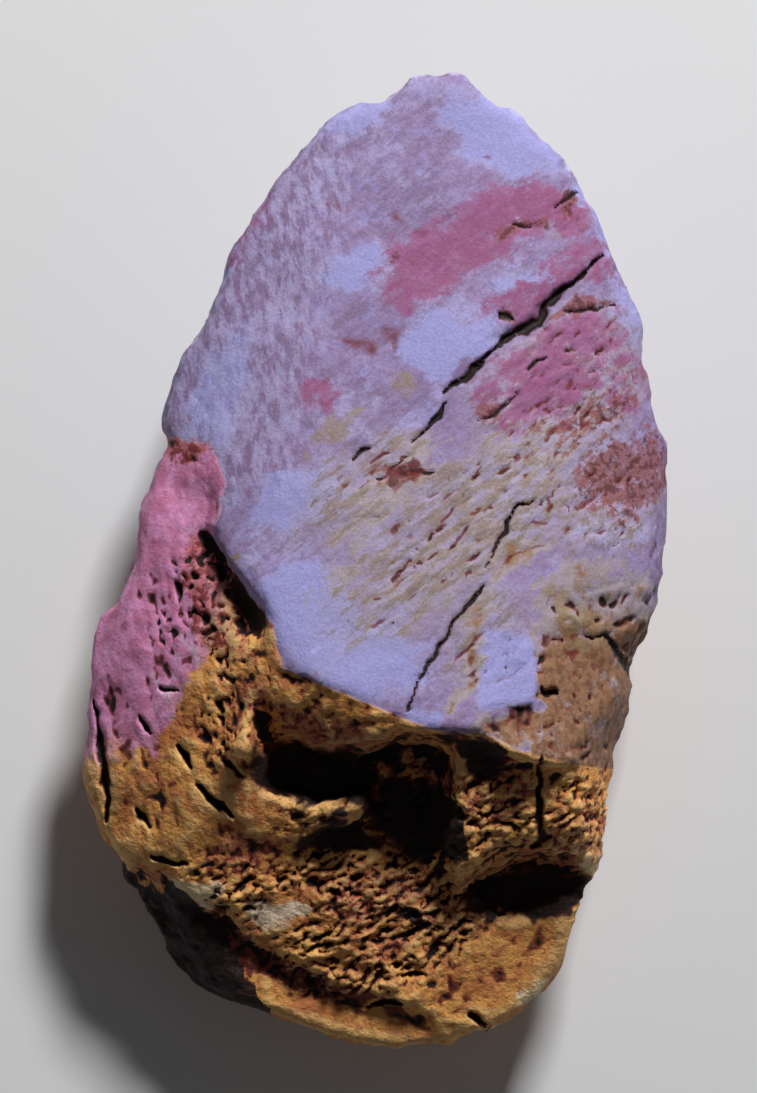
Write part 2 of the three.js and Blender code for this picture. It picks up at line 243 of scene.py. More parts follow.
def pits(where, along, across, direction, share, seed):
    """Scattered lens-shaped hollows, 1 at the deepest: their length, breadth, direction and how many."""
    bent = warped(warped(where, 0.9 * along, 2.4 * along, seed + 4), 0.4 * across, 0.9 * across, seed + 8)
    grid = turned(bent, direction)[:, :2]
    grid /= [1.25 * along, 1.25 * across]
    home = np.floor(grid).astype(np.int64)
    deepest = np.zeros(len(where))
    for step in np.ndindex(3, 3):
        cell = home + np.array(step) - 1
        centre = cell + np.stack([lattice(cell, seed), lattice(cell, seed + 1)], axis=1)
        reach = (0.2 + 0.5 * lattice(cell, seed + 2) ** 1.5) * (lattice(cell, seed + 3) < share)
        far = np.hypot(*(grid - centre).T) / np.maximum(reach, 1e-6)
        deepest = np.maximum(deepest, (1 - ramp(far, 0.3, 1)) * (0.4 + reach) * (reach > 0))
    return deepest


FAR_OFF = -9.0


def groove(where, stations):
    """1 along a line of x, y, half breadth stations, falling to 0 at the banks and below 0 past them."""
    best = np.full(len(where), FAR_OFF)
    for start, end in zip(stations[:-1], stations[1:]):
        a, b = np.array(start, dtype=float), np.array(end, dtype=float)
        step = b[:2] - a[:2]
        t = np.clip(((where[:, :2] - a[:2]) @ step) / (step @ step), 0, 1)
        far = np.hypot(*(where[:, :2] - a[:2] - t[:, None] * step).T)
        best = np.maximum(best, 1 - far / (a[2] + t * (b[2] - a[2])))
    return best


PATCH_CORE, PATCH_BORDER = 0.45, 1.25  # shares of the half size where a patch starts to fade and ends


def patch(where, places):
    """The strongest of some soft oval patches: x, y, half length, half breadth, direction, strength."""
    best = np.zeros(len(where))
    for x, y, half_length, half_breadth, direction, strength in places:
        local = turned(where - [x, y, 0], direction)[:, :2] / [half_length, half_breadth]
        best = np.maximum(best, strength * (1 - ramp(np.hypot(*local.T), PATCH_CORE, PATCH_BORDER)))
    return best


# The smooth face and the cutting edge follow the same rules as in the solid.
LEDGE_HEIGHT, LEDGE_PLACE = 53, -27
FACE_FALL = 0.205  # from the ledge to the tip
SIDE_FALL = 17
FACE_MIDDLE, FACE_HALF_WIDTH = 5, 46.8


def natural_face(where):
    """Height of the cobble's own smooth face, as it was before anything was struck from it."""
    x, y = where[:, 0], where[:, 1]
    long = np.sin(x * 0.21 + 1.3 * np.sin(y * 0.13)) * np.cos(y * 0.17 - x * 0.05)
    short = np.sin(x * 0.47 - y * 0.31 + 2) * np.sin(y * 0.53 + x * 0.19)
    side = np.abs(x - FACE_MIDDLE) / FACE_HALF_WIDTH
    fall = FACE_FALL * (y - LEDGE_PLACE)
    return LEDGE_HEIGHT - fall - SIDE_FALL * side**3 + 0.5 * (0.5 * long + 0.3 * short)


EDGE_HEIGHT = 24
EDGE_CLIMB = 3.5  # from the middle to the tip
EDGE_DIP, DIP_X, DIP_Y, DIP_SPREAD = -6.5, -36, -66, 500


def edge_height(where):
    """Height of the cutting edge round the stone: it climbs to the tip and dips at the lower left."""
    x, y = where[:, 0], where[:, 1]
    dip = EDGE_DIP * np.exp(-((x - DIP_X) ** 2 + (y - DIP_Y) ** 2) / DIP_SPREAD)
    return EDGE_HEIGHT + EDGE_CLIMB * y / HALF_LENGTH + dip + 0.9 * np.sin(y * 0.16 + x * 0.05)


def beside_flank(x, y):
    """1 over the left flank, which reaches in to the step beside the face and down to the butt."""
    low = (1 - ramp(x + 0.35 * y, -33, -27)) * ramp(y, -56, -48)
    return np.maximum(low, ramp(y, -20, -16) * (1 - ramp(x, -8, -4)))


LEDGE = [
    (-17, -17.4), (-10, -20.4), (-5, -22.4), (0, -24.4), (5.6, -26.8), (12.4, -29), (19, -29.2),
    (24, -31.8), (30, -33.6), (36, -35), (44, -36.6),
]


def below_ledge(x, y):
    """1 on the butt's side of the ledge that ends the smooth face."""
    return ramp(np.interp(x, *zip(*LEDGE)) - y, -0.4, 0.4)


STEP = [
    (-17, -15.5), (-12, -17.5), (-8.5, -18.5), (-1.6, -24), (5, -27.5), (8, -26.2), (14, -25.3),
    (22, -29),
]


def left_of_step(x, y):
    """1 on the flank's side of the step, given as y, x pairs, that ends the smooth face on the left."""
    return ramp(np.interp(y, *zip(*STEP)) - x, -0.5, 0.5) * (1 - ramp(y + 0.3 * x, 10, 13))


def upright_part(x, y):
    """1 on the upper left of the face, where the streaks run nearly straight up."""
    return (1 - ramp(x - 0.15 * y, -22, -8)) * ramp(y, 4, 16)


# Even out the solid's flat facets but keep the ridges between the flake scars.
FACET_PASSES = 40
PASSES_PER_LOOK = 8  # how often the ridges are found anew
FACET_STEP = 0.6
RIDGE_TURN = 0.16  # neighbours whose normals differ by more than this lie across a ridge

stone_mesh = dense_copy(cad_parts["hand_axe"])
pairs = pairs_of(stone_mesh)
points = points_of(stone_mesh)
for count in range(FACET_PASSES):
    if count % PASSES_PER_LOOK == 0:
        put_points(stone_mesh, points)
        normals = blur(normals_of(stone_mesh), pairs)
        bend = np.linalg.norm(normals[pairs[0]] - normals[pairs[1]], axis=1)
        alike = np.exp(-((bend / RIDGE_TURN) ** 2)) + 0.02
    points += FACET_STEP * (blur(points, pairs, alike) - points)

# Where each point lies: on the natural face, on a flaked part of the front, or on the back.
put_points(stone_mesh, points)
normals = normals_of(stone_mesh)
x, y = points[:, 0], points[:, 1]
below_face = natural_face(points) - points[:, 2]
above_edge = points[:, 2] - edge_height(points)
front = ramp(above_edge, -1.5, 0.5)
on_face = front * (1 - ramp(np.abs(below_face), 0.35, 0.9))
flaked = front - on_face
on_flank = flaked * beside_flank(x, y)
on_terrace = flaked * ramp(x, 26, 28) * ramp(y, -36, -33)
on_butt = flaked * (1 - on_flank) * (1 - on_terrace)
on_back = 1 - front

# The natural face: low swells, and in its middle and on its right streaks of the bedding that stand up
# as fine ribs, rising to the right. On the upper left they run nearly straight up and hardly show.
STREAKED = [
    (16, 6, 30, 11, 38, 1), (33, 30, 17, 13, 40, 1), (-1, 13, 15, 7, 38, 0.9),
    (38, 10, 14, 11, 30, 0.8), (20, -14, 10, 12, 60, 0.7), (30, 60, 8, 4, 10, 0.6),
]
streaked = patch(points, STREAKED)
upright = upright_part(x, y)
ribs = noise(turned(points, 36) / [6, 1, 1], 1.25, 11)
plates = noise(turned(points, 34) / [2.4, 1, 1], 6.5, 13)
plates = ramp(plates, -0.1, 0.02) - 0.5 + 0.5 * ramp(plates, 0.25, 0.33)
face_relief = 0.35 * noise(points, 11, 15) + 0.1 * noise(points, 3.2, 16)
face_relief += (0.12 + 0.88 * streaked) * (0.22 * ribs + 0.2 * plates)
face_relief += 0.16 * streaked * noise(turned(points, 38) / [3.4, 1, 1], 0.9, 19)
face_relief -= 0.3 * streaked * pits(points, 3.4, 1, 38, 0.3, 17)
face_relief -= 0.1 * upright * pits(points, 3.6, 0.8, 100, 0.4, 18)

# The flank: nearly smooth, with a band of steep little pits along the foot of the step.
PITTED = [
    (-30, -3, 6, 2.6, 108, 0.7), (-28, -7, 11, 6, 112, 1), (-23, -20, 8, 5, 120, 0.9),
    (-25, -28, 8, 5, 90, 0.7), (-36, -12, 6, 3, 100, 0.3),
]
pitted = patch(points, PITTED)
flank_relief = 0.6 * noise(points, 8, 21) + 0.24 * noise(points, 2.6, 22) + 0.1 * noise(points, 1.2, 49)
flank_relief += 0.16 * noise(turned(points, 105) / [5, 1, 1], 1.3, 25)
flank_relief -= pitted * 1.3 * pits(points, 2.3, 1.5, 112, 0.5, 23)
flank_relief -= pitted * 0.8 * pits(points, 1.5, 1.1, 100, 0.55, 24)

# The terrace on the right: soft low lumps. The butt and the hollows: overlapping scales that rise to the
# right and dark little pits, fading out on the smooth lower right, the brow, the scars and the low rim.
terrace_relief = 0.5 * noise(points, 7, 26) + 0.28 * noise(points, 2.6, 27) + 0.1 * noise(points, 1.2, 28)
terrace_relief -= 0.5 * pits(points, 2.4, 1.6, 40, 0.25, 29)
SCALY = [
    (4, -57, 19, 9, 20, 1.1), (6, -66, 22, 8, 26, 1.1), (-14, -56, 19, 9, 12, 1.1),
    (-8, -67, 15, 5, -28, 1), (5, -41, 8, 6, 60, 1), (21, -42, 9, 10, 90, 0.9), (36, -44, 7, 10, 90, 1),
    (-6, -73, 14, 3, -22, 0.7), (-26, -50, 10, 7, 25, 0.9), (-14, -44, 15, 5, 15, 0.8),
    (-22, -33, 6, 9, 0, 0.5), (38, -60, 8, 5, 0, 0.6),
]
scaly = patch(points, SCALY)
creased = ramp(noise(points, 4, 50), -0.5, 0.5)
crust = 0.75 * creased * (scales(points, 3.8, 1.7, 30, 33) - 0.6) + 0.25 * scales(points, 1.9, 1, 24, 38)
crust += 0.6 * noise(turned(points, 30) / [2.6, 1, 1], 1.5, 47)
broken = scaly * (0.4 + 0.6 * ramp(noise(points, 6, 48), -0.45, 0.2))
SMOOTH = [
    (26, -70, 17, 9, 25, 1), (-4, -80.5, 22, 5.5, -6, 1.2), (-16, -61, 7, 4, 8, 1),
    (-31, -57, 5, 2.4, 10, 0.9),
]
smooth = patch(points, SMOOTH)
butt_relief = 0.7 * noise(points, 6.5, 31) + 0.42 * noise(points, 2.6, 32) + 0.2 * noise(points, 1.2, 46)
butt_relief *= 1 - 0.68 * smooth
butt_relief += (0.16 + 0.84 * broken) * (1 - smooth) * crust
hollows = 1.1 * pits(points, 2.9, 1.2, 30, 0.75, 35) + 0.55 * pits(points, 1.8, 0.9, 30, 0.6, 36)
butt_relief -= broken * (1 - smooth) * hollows
back_relief = 0.4 * noise(points, 7, 41) + 0.2 * noise(points, 2.5, 42) + 0.08 * noise(points, 1.2, 43)
back_relief += 0.12 * scales(points, 5, 2.2, 60, 44) - 0.3 * pits(points, 3, 1.4, 60, 0.2, 45)
relief = on_face * face_relief + on_flank * flank_relief + on_terrace * terrace_relief
relief += on_butt * butt_relief + on_back * back_relief

VEIN = [
    (30, 3.4, 1), (23.4, 0.8, 1.3), (21, -2, 1.4), (19.3, -4.6, 1.2), (18, -8, 1.2), (17.3, -12.4, 1.6),
    (16.5, -15.8, 1.6), (17, -20, 1.5), (14, -23.5, 1.4), (12.6, -25.2, 1),
]
relief -= on_face * 0.15 * ramp(groove(warped(points, 0.7, 2.6, 51), VEIN), 0, 1)

# Old cracks, gouges and single pits: x, y, half breadth stations and the depth of each.
CARVED = [
    ([(39.4, 53, 0.3), (36, 49.8, 0.45), (32.3, 46.7, 0.8), (29.8, 43.8, 1.1), (28.4, 41.3, 1.5),
      (26.4, 40.2, 1.4), (23.5, 39, 0.9), (20.1, 36, 0.3)], 1.6),
    ([(20.1, 36, 0.3), (18.2, 33.8, 0.8), (16.3, 31.9, 0.8), (14.1, 30.6, 0.6), (11.2, 28.8, 0.2)], 1.4),
    ([(12.2, 27, 0.2), (10.9, 25, 0.8), (8.6, 22.6, 0.4), (6.4, 20.7, 0.15)], 1.4),
    ([(27.2, 10.8, 0.2), (24.4, 9.5, 0.5), (22.7, 6.8, 0.5), (21, 2.8, 0.5), (19, -0.8, 0.15)], 1.1),
    ([(18.6, -4, 0.15), (17.8, -5.4, 0.5), (15.6, -8, 0.5), (13.3, -10.7, 0.4), (11.9, -13.7, 0.45),
      (9.9, -16.5, 0.4), (8.2, -19.5, 0.4), (6.9, -22.5, 0.4), (5.8, -25, 0.3)], 1.0),
    ([(0.8, 14.4, 0.3), (3.2, 15.4, 1.2), (5, 17, 0.3)], 0.45),
    ([(3.2, 15.4, 1.2), (6.4, 14.9, 1.3), (9.8, 15.2, 0.2)], 0.45),
    ([(-3.6, 17.6, 0.3), (-2, 18.6, 0.7), (-0.2, 19.6, 0.3)], 1),
    ([(-33.4, -32, 0.4), (-32.4, -33.6, 0.9), (-31.2, -35.4, 0.3)], 1.8),
    ([(-30.2, -38.4, 0.3), (-28.4, -40.2, 0.9), (-26, -42.2, 1.0), (-24.6, -43.4, 0.3)], 2),
    ([(-41.2, -42.6, 0.3), (-40.2, -44.2, 0.7), (-38.8, -46, 0.3)], 1.5),
    ([(-38.4, -51, 0.4), (-36, -52, 1.0), (-32.4, -52.2, 0.4)], 1.6),
    ([(-26, -33.4, 0.4), (-24.4, -34.8, 0.9), (-22.6, -36.8, 0.4)], 1.5),
    ([(-40, -26.8, 0.3), (-39.2, -28.4, 0.7), (-38.4, -29.4, 0.2)], 1.3),
    ([(-36.4, -21.8, 0.3), (-35, -22.2, 0.6), (-33.8, -22.6, 0.2)], 1.2),
    ([(-48.5, -24, 0.4), (-47.6, -30, 0.8), (-46.9, -36, 0.9), (-46.2, -41, 0.8), (-46.8, -45, 0.4)], 1.6),
    ([(28.3, -33.6, 0.4), (28.2, -40, 0.8), (28.8, -48, 1.0)], 1.6),
    ([(27.4, -48.8, 0.8), (30.2, -47.2, 0.6)], 1.6),
    ([(40.4, -14, 0.4), (42.6, -17, 1.0), (45.4, -20.4, 0.8)], 1.4),
    ([(36, -12.6, 0.3), (39.6, -12.4, 0.5), (41.6, -14.6, 0.6)], 0.9),
    ([(28.6, -21.4, 0.5), (29.8, -22.2, 0.9), (31, -22.4, 0.4)], 1.6),
    ([(17, -78.6, 0.6), (18.4, -80, 0.9), (20, -81.4, 0.6)], 1.8),
    ([(-1, -77.4, 0.3), (2, -76.6, 0.9), (5, -77, 0.4)], 1.4),
    ([(17.4, 24, 0.2), (20.8, 25.6, 0.5), (24.4, 28.4, 0.2)], 0.7),
    ([(26.4, 32.6, 0.2), (28, 34, 0.5), (30, 35.4, 0.2)], 0.8),
    ([(33, 43.4, 0.2), (37, 43, 0.5), (42, 44.6, 0.2)], 0.7),
    ([(31.6, 61, 0.2), (34.4, 63.6, 0.6), (35.4, 64, 0.2)], 0.8),
    ([(23.8, 58, 0.3), (27, 57.8, 0.4)], 0.6),
    ([(21.6, 42.6, 0.3), (22.8, 42, 0.7), (24, 41.4, 0.3)], 0.8),
]


def carving(where):
    """How deep the cracks and gouges are at each point."""
    wander = warped(where, 0.7, 2.6, 51)
    bank = -0.2 + 0.5 * noise(where, 1.6, 54)
    deepest = np.zeros(len(where))
    for stations, depth in CARVED:
        deepest = np.maximum(deepest, depth * ramp(groove(wander, stations), bank, 0.8))
    return deepest


carved = carving(points) * front
relief *= 1 - 0.8 * np.minimum(carved, 1)

# The relief fades to nothing on the flat spot that the stone rests on, and only cuts into the rim, so
# the stone keeps its size.
RIM_GROWTH = 0.55  # gives back what the smoothing took from the sharp edge
rest = ramp(points[:, 2], 0.05, 1.6)
rim = 1 - ramp(np.abs(above_edge), 0.6, 2.4)
relief = rest * (relief - rim * np.maximum(relief, 0)) * (1 - 0.7 * rim)
points += normals * relief[:, None] - [0, 0, 1] * (rest * carved)[:, None]
points[:, :2] += RIM_GROWTH * rim[:, None] * points[:, :2] / np.hypot(x, y)[:, None]

# Chips along the cutting edge, from use and from trimming: each is a shallow scoop in the front or the
# back face just beside the edge, taken round the rim in turn. A chip that finds no place is left out.
CHIPS = 240
CHIP_RADIUS = (2, 8)
CHIP_BITE = (0.2, 0.85)
CHIP_PLACE = (-2, 1.6)  # height of its middle above the edge
draw = np.random.default_rng(7)
bearing = np.arctan2(y / HALF_LENGTH, x / HALF_WIDTH)
for number in range(CHIPS):
    angle = (number + draw.uniform(-0.4, 0.4)) / CHIPS * 2 * math.pi - math.pi
    radius, bite = draw.uniform(*CHIP_RADIUS), draw.uniform(*CHIP_BITE)
    apart = np.abs((bearing - angle + math.pi) % (2 * math.pi) - math.pi)
    near = np.flatnonzero((apart < 0.02) & (np.abs(above_edge - draw.uniform(*CHIP_PLACE)) < 0.5))
    if len(near) == 0:
        continue
    home = draw.choice(near)
    centre = points[home] + normals[home] * (radius - bite)
    offset = points - centre
    far = np.linalg.norm(offset, axis=1)
    inside = far < radius
    points[inside] = centre + offset[inside] * (radius / far[inside])[:, None]

# The stone stays inside the solid's box, and is thinned to the triangles that it may have.
low, high = (np.array(corner) / MM for corner in cad_box)
points = np.clip(points, low, high)
put_points(stone_mesh, points)

stone = bpy.data.objects.new("stone_hand_axe", stone_mesh)
link(stone)
thin = stone.modifiers.new("thin", "DECIMATE")
thin.ratio = MOST_TRIANGLES / (2 * len(stone_mesh.polygons))
stone.data = bpy.data.meshes.new_from_object(stone.evaluated_get(bpy.context.evaluated_depsgraph_get()))
stone.modifiers.clear()
stone.data.shade_smooth()

# The stains and painted light, each a strength at every point of the mesh: where the stone is pale, pink,
# red, streaked with tan, spotted with ochre or all ochre inside; where dark stain and painted shade lie in
# its pits and creases, and painted shadow in its hollows and on the steep scar; and where painted
# highlights lie on its ridges and edge. Sunk is 0.5 on even stone; the others are 0 off the stain and about
# 1 in its middle.
points = points_of(stone.data)
normals = normals_of(stone.data)
pairs = pairs_of(stone.data)
x, y = points[:, 0], points[:, 1]
above_edge = points[:, 2] - edge_height(points)
front = ramp(above_edge, -1.5, 0.5)
drift = warped(warped(points, 2.6, 7, 61), 1.2, 2.4, 64)
wobble = 0.3 * (drift[:, 0] - x)
off_face = front * np.maximum(below_ledge(x, y), left_of_step(x + wobble, y))
on_flank = off_face * beside_flank(x + wobble, y)
under_ledge = off_face - on_flank
on_face = front - off_face

# The terrace is brown up to a clean line low down and merges with the face higher up. Beside it lies the
# last pale block of the face.
merging = ramp(y, -20, -12)
terrace = front * ramp(drift[:, 0] + wobble, 27 - 3 * merging, 27.5 + 7 * merging)
terrace *= 1 - ramp(drift[:, 1], -12, -3)
block = ramp(drift[:, 0], 16.8, 18.6) * (1 - ramp(x + wobble, 26.9, 27.5))
block *= on_face * ramp(y + wobble, -24.9, -24.3) * (1 - ramp(drift[:, 1], -13, -8))

PALE = [
    (22, 74, 13, 7.5, -35, 1), (-4, 77, 9, 4, 25, 0.8), (12, 37, 9, 6, 20, 1),
    (-3.6, 50, 4.6, 5.6, -30, 1), (-13, 11, 12, 5, 15, 1), (-12, -8, 12, 10, -40, 1),
    (0, -16, 10, 9, -20, 1), (9.4, -26.8, 3.6, 2.6, 0, 1), (-26, 30, 5, 13, -20, 0.9),
    (-27, 50, 9, 2.6, 60, 0.7), (43.6, 42, 8, 2.6, -65, 0.9), (40, 5, 9, 2.6, 5, 0.8),
    (26, 48.6, 7, 2.6, 10, 0.6), (39.6, 60, 9, 2.4, -60, 0.9), (8, -4, 12, 5, 35, 0.6),
    (28, 8, 9, 3, 35, 0.5), (9, 27, 7, 2.4, 40, 0.5),
]
PINK = [
    (10, 52, 11, 7.5, 30, 1), (20, 58, 11, 7, 25, 1), (30, 60.6, 8, 4, 0, 1), (34, 51, 9, 4, 30, 0.7),
    (26, 45, 10, 3.4, 25, 0.75), (30, 33, 16, 9, 38, 0.8), (-10, 28, 5, 3.4, 20, 0.7),
    (-22, 58, 9, 4, 60, 0.4), (42, 30, 8, 6, 60, 0.5),
]
RED = [
    (44, 15, 10, 7, 20, 0.85), (36, 24, 12, 5, 30, 0.5), (34, 62, 4, 1.6, 50, 1),
    (25.5, 57.6, 4, 1.4, 5, 1), (5, 15.2, 6, 2, 0, 1.8), (20.8, 25.6, 5, 1.4, 35, 0.9),
    (36.5, 43.2, 7, 1.4, 5, 0.9), (23, 42, 2.6, 1.4, 0, 0.9), (3, 52, 3, 2, 0, 0.5),
]
TAN = [
    (3, 12, 16, 6, 40, 0.8), (16, 3, 24, 8, 38, 0.62), (-4, -2, 12, 4, 36, 0.5),
    (30, 22, 20, 8, 36, 0.62), (38, -6, 12, 6, 0, 0.9), (37, -19, 9.5, 14, 0, 1.3),
    (17.6, -14, 2.8, 11, 0, 0.8), (40, -30, 12, 7, 0, 1.3), (23.5, -28.4, 6, 3.4, 0, 1.2),
    (24, 1, 9, 2, 25, 0.9),
]
OCHRE = [
    (-7, 21, 6, 2.6, 38, 0.8), (4.6, 30, 3, 3.6, 20, 0.5), (-2, 25.8, 1.3, 1.2, 0, 0.8),
    (-23, 1, 2.6, 1.6, 20, 0.8), (9.6, 22, 6, 1.6, 45, 0.3), (33, -8, 8, 2.2, -20, 0.6),
    (38, -12, 6, 2, 10, 0.6),
]
ROSY = [
    (-29, 13, 5, 8, 0, 1.2), (-37, 10, 14, 8, 75, 1.2), (-41, -6, 20, 12, 85, 1.2),
    (-45, -26, 14, 10, 95, 1.1),
]
# Maroon patches: a red-brown stain at the top of the flank, and painted shade under the ledge, beside the
# step, on the block, in the notches at the right edge and in the butt's hollows.
MAROON_AND_SHADE_PATCHES = [
    (-29.4, 0, 8, 3.2, 108, 0.6), (-27.6, -8, 12, 5.6, 112, 0.7), (-23, -22, 6, 4, 120, 0.5),
    (-32, 20, 4, 3, 0, 0.7), (-5, -30, 16, 5, -20, 0.5), (21, -40, 10, 9, 90, 0.4),
    (2, -57, 14, 5, 15, 0.5), (36, -48, 8, 8, 90, 0.45), (-22, -50, 11, 3, 30, 0.5),
    (8, -64, 16, 6, 25, 0.4), (6, -40, 8, 6, 90, 0.6), (44, -16, 4, 8, 10, 0.5),
]
# Painted shadow: the hollows under the ledge, beside the step and at the lower right, laid dark where they
# lie in shade.
DEEP_SHADOW_PATCHES = [
    (-10, -37, 13, 5.5, -12, 1.1), (7, -43, 8, 8, 90, 0.8), (27, -57.4, 12, 4.4, 5, 1.1),
    (-21.4, -6.4, 2.4, 6, 25, 1.1), (-7, -47.8, 8, 3, 0, 1), (18, -32.6, 5.4, 3.2, -35, 1.1),
    (12.6, -46, 2.4, 9, 0, 1), (7.5, -62.5, 3, 1.6, 0, 1),
]
SCAR_TOP = [(-46, -50), (-43, -54), (-36, -57), (-28, -60), (-19, -78)]
LOW_BAND = [
    (-28, -60, 2), (-25, -65, 3), (-20, -69.4, 3), (-12, -73, 2.4), (-4, -75.8, 2), (4, -77.6, 1.3),
]
# Pale chalky patches on the butt, and a painted highlight on the rounded edge at the lower right.
PALE_AND_HIGHLIT = [
    (-16, -61, 6, 3.2, 8, 1), (-31, -57, 5, 2, 10, 0.8), (27, -74, 4, 1.6, 35, 0.9),
    (38.6, -52, 2, 3, 0, 0.8),
]
flank_warmth = np.maximum(ramp(2.2 * (drift[:, 0] + 38) - drift[:, 1], 26, 42), ramp(-drift[:, 1], 25, 41))
inner = under_ledge + on_flank * flank_warmth
inner = np.maximum(inner, (1 - front) * ramp(0.6 * noise(drift, 30, 71) - 0.012 * y, -0.15, 0.25))
# Painted shade in the strip below the low step of the butt.
low_band_shade = 1.3 * ramp(groove(drift, LOW_BAND), 0, 0.6)
# Painted shadow on the steep scar at the lower left, which faces away from the lamp.
black_scar_shadow = 1.4 * ramp(np.interp(drift[:, 0], *zip(*SCAR_TOP)) - drift[:, 1], -0.6, 0.8)
black_scar_shadow *= (1 - ramp(drift[:, 0], -21, -19)) * ramp(above_edge, -7, -3)
browned = np.maximum(on_face * (1 - block) * patch(drift, TAN), 1.3 * terrace)
vein = 0.95 * ramp(groove(warped(points, 0.7, 2.6, 51), VEIN), -0.5, 0.8)

# How far each point lies below the stone round it, near by and farther off, counted for more
# off the smooth face. It darkens the pits and creases as dark stain and painted shade; none is laid on the
# cutting edge or in the undarkened patch at the top of the flank.
UNDARKENED = [(-32.4, 10.4, 7, 4.4, 0, 1.3)]
NEAR_PASSES, FAR_PASSES = 5, 30
NEAR_WEIGHT, FAR_WEIGHT = 1.2, 0.35
near_mean = points
for count in range(NEAR_PASSES):
    near_mean = blur(near_mean, pairs)
far_mean = near_mean
for count in range(FAR_PASSES - NEAR_PASSES):
    far_mean = blur(far_mean, pairs)
near_depth = np.sum((near_mean - points) * normals, axis=1)
far_depth = np.sum((far_mean - points) * normals, axis=1)
sunk = NEAR_WEIGHT * near_depth + FAR_WEIGHT * far_depth
sunk *= 1 + 0.5 * off_face + 0.1 * on_flank
sunk *= ramp(np.abs(above_edge), 0.8, 3.6) * (1 - np.minimum(patch(points, UNDARKENED), 1))
stains_and_painted_light = {
    "pale": np.maximum(on_face * patch(drift, PALE) * (1 - block), block),
    "pink": on_face * patch(drift, PINK),
    "rosy": on_flank * np.maximum(patch(drift, ROSY), 0.85),
    "red": on_face * patch(drift, RED),
    "tan": np.maximum(browned, on_face * vein) + 0.35 * (1 - front),
    "ochre": on_face * patch(drift, OCHRE),
    "inner": inner,
    "maroon_and_shade": off_face * np.maximum(patch(drift, MAROON_AND_SHADE_PATCHES), low_band_shade),
    "deep": (1 - on_face) * np.maximum(front * patch(drift, DEEP_SHADOW_PATCHES), black_scar_shadow),
    "pale_and_highlit": inner * patch(drift, PALE_AND_HIGHLIT),
    "streaked": on_face * (1 - block) * patch(drift, STREAKED),
    "upright": upright_part(x, y),
    "cracked": front * ramp(carving(points), 0.45, 0.75),
    "sunk": np.clip(0.5 + sunk, 0, 1),
    "rim": (1 - ramp(np.abs(above_edge), 0.4, 1.8)) * (1 - np.minimum(black_scar_shadow, 1)),
}
for name, values in stains_and_painted_light.items():
    layer = stone.data.attributes.new(name, "FLOAT", "POINT")
    layer.data.foreach_set("value", values.astype(np.float32))
stone.data.transform(Matrix.Scale(MM, 4))

# The finish: matt stone whose lilac face is blotched with mauve, stained pink and red in places and
# streaked with tan, and whose fresh inside, shown by the flakes, is ochre. Painted shade, painted shadow
# and painted highlights lie over it.
finish = bpy.data.materials.new("quartzite")
finish.use_nodes = True
nodes, links = finish.node_tree.nodes, finish.node_tree.links
surface = nodes["Principled BSDF"]


def add(kind, inputs=None, **settings):
    """A new node, its settings, and its inputs as plain values or as links from other nodes' outputs."""
    node = nodes.new(kind)
    for name, value in settings.items():
        setattr(node, name, value)
    for name, value in (inputs or {}).items():
        if isinstance(value, bpy.types.NodeSocket):
            links.new(value, node.inputs[name])
        else:
            node.inputs[name].default_value = value
    return node


def stain(name):
    return add("ShaderNodeAttribute", attribute_name=name).outputs["Fac"]


def sums(operation, a, b):
    return add("ShaderNodeMath", {0: a, 1: b}, operation=operation).outputs[0]


def cloud(size, detail=4.0, roughness=0.6, direction=0.0, stretch=1.0, seed=0.0):
    """A noise pattern with features of the given size in millimetres, stretched along a direction."""
    lie = add("ShaderNodeMapping", {"Vector": place, "Location": (seed * MM, 0, 0)}, vector_type="TEXTURE")
    lie.inputs["Rotation"].default_value = (0, 0, math.radians(direction))
    lie.inputs["Scale"].default_value = (stretch, 1, 1)
    return add(
        "ShaderNodeTexNoise",
        {"Vector": lie.outputs[0], "Scale": 1 / (size * MM), "Detail": detail, "Roughness": roughness},
    ).outputs["Fac"]


def between(value, start, end, low=0.0, high=1.0):
    """The value turned smoothly from low at start to high at end."""
    inputs = {0: value, 1: start, 2: end, 3: low, 4: high}
    return add("ShaderNodeMapRange", inputs, interpolation_type="SMOOTHSTEP").outputs[0]


def ragged(mask, pattern, amount, softness):
    """A soft mask given a ragged, broken border by a noise pattern, and kept at 0 where it was 0."""
    pushed = sums("MULTIPLY_ADD", pattern, amount)
    links.new(sums("SUBTRACT", mask, 0.5 * amount), pushed.node.inputs[2])
    return sums("MULTIPLY", between(pushed, 0.5 - softness, 0.5 + softness), between(mask, 0.02, 0.2))


def over(below, colour, mask, strength=1.0):
    """A colour laid over what is below it, where the mask is 1."""
    factor = mask if strength == 1.0 else sums("MULTIPLY", mask, strength)
    top = colour if isinstance(colour, bpy.types.NodeSocket) else (*colour, 1)
    return add("ShaderNodeMix", {0: factor, 6: below, 7: top}, data_type="RGBA").outputs[2]


place = add("ShaderNodeTexCoord").outputs["Object"]
blotch = cloud(9, 8, 0.66)
mottle = cloud(3.6, 7, 0.7, seed=40)
fleck = cloud(1.5, 4, 0.6, seed=90)
grain = cloud(0.5, 2, 0.6, seed=20)
streak_right = cloud(1.6, 6, 0.7, direction=38, stretch=3.4)
streak_up = cloud(1.5, 5, 0.66, direction=102, stretch=2.6, seed=60)
upright = stain("upright")
streak = add("ShaderNodeMix", {0: upright, 2: streak_right, 3: streak_up}).outputs[0]

